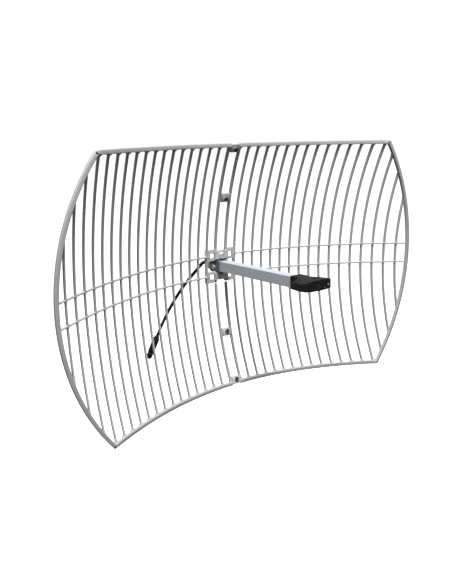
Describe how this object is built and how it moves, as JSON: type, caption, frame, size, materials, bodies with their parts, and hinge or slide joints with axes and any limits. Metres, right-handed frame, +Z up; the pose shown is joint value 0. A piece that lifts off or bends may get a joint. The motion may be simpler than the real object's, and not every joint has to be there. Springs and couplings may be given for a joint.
{
  "type": "parabolic grid antenna",
  "caption": "Parabolic grid antenna: die-cast reflector grid in two bolted halves, square feed boom with moulded feed head, and a coaxial pigtail with a capped connector.",
  "frame": {"origin": "centre of the four square mast-bracket holes, in the plane of the rear faces of the hub pads", "axes": "+Z up, the dish looks along -Y, +Y points out of its back to the mast, +X to the right seen from the front"},
  "size_m": [1.0096, 0.783, 0.6905],
  "materials": {
    "powder_coat": "light grey powder coat over die-cast aluminium",
    "boom_alloy": "satin extruded aluminium",
    "flange_alloy": "cast and machined aluminium, unpainted",
    "black_paint": "black paint over cast aluminium",
    "zinc_steel": "zinc plated",
    "dark_steel": "dark passivated",
    "black_plastic": "moulded with a fine matt texture",
    "black_rubber": "satin heat-shrink and rubber",
    "cable_jacket": "smooth extruded jacket",
    "coax_jacket": "smooth",
    "brass_tube": "plain drawn tube",
    "circuit_board": "green solder mask",
    "copper_strip": "tinned copper strip",
    "white_plastic": "plain",
    "nickel_plate": "nickel plated brass",
    "gold_contact": "gold plated"
  },
  "bodies": {
    "antenna": {"grid_left": "powder_coat", "grid_right": "powder_coat", "joint_screws": "dark_steel", "joint_washers": "zinc_steel", "joint_lock_washers": "zinc_steel", "joint_nuts": "zinc_steel", "front_clamp_plates": "flange_alloy", "rear_clamp_plates": "flange_alloy", "clamp_bolts": "zinc_steel", "clamp_washers": "zinc_steel", "clamp_lock_washers": "zinc_steel", "clamp_nuts": "zinc_steel", "boom_socket": "black_paint", "boom_set_screw": "zinc_steel", "boom_tube": "boom_alloy", "tail_plug": "black_plastic", "strain_relief": "black_rubber", "feed_coax": "coax_jacket", "balun_tube": "brass_tube", "dipole_board": "circuit_board", "dipole_arms": "copper_strip", "sub_reflector": "flange_alloy", "element_spacer": "white_plastic", "head_housing": "black_plastic", "head_seal": "black_rubber", "head_front_cap": "black_plastic", "head_cap_screws": "zinc_steel", "head_clamp_screws": "zinc_steel", "pigtail_cable": "cable_jacket", "connector_boot": "black_rubber", "crimp_ferrule": "nickel_plate", "connector_body": "nickel_plate", "connector_insulator": "white_plastic", "connector_contact": "gold_contact", "connector_seal": "black_rubber"},
    "dust_cap": {"dust_cap": "black_plastic"}
  },
  "joints": [
    {"name": "dust_cap_pull", "type": "slide", "parent": "antenna", "child": "dust_cap", "axis": [0, 0.5664, -0.8241], "range_m": [0, 0.022]}
  ]
}
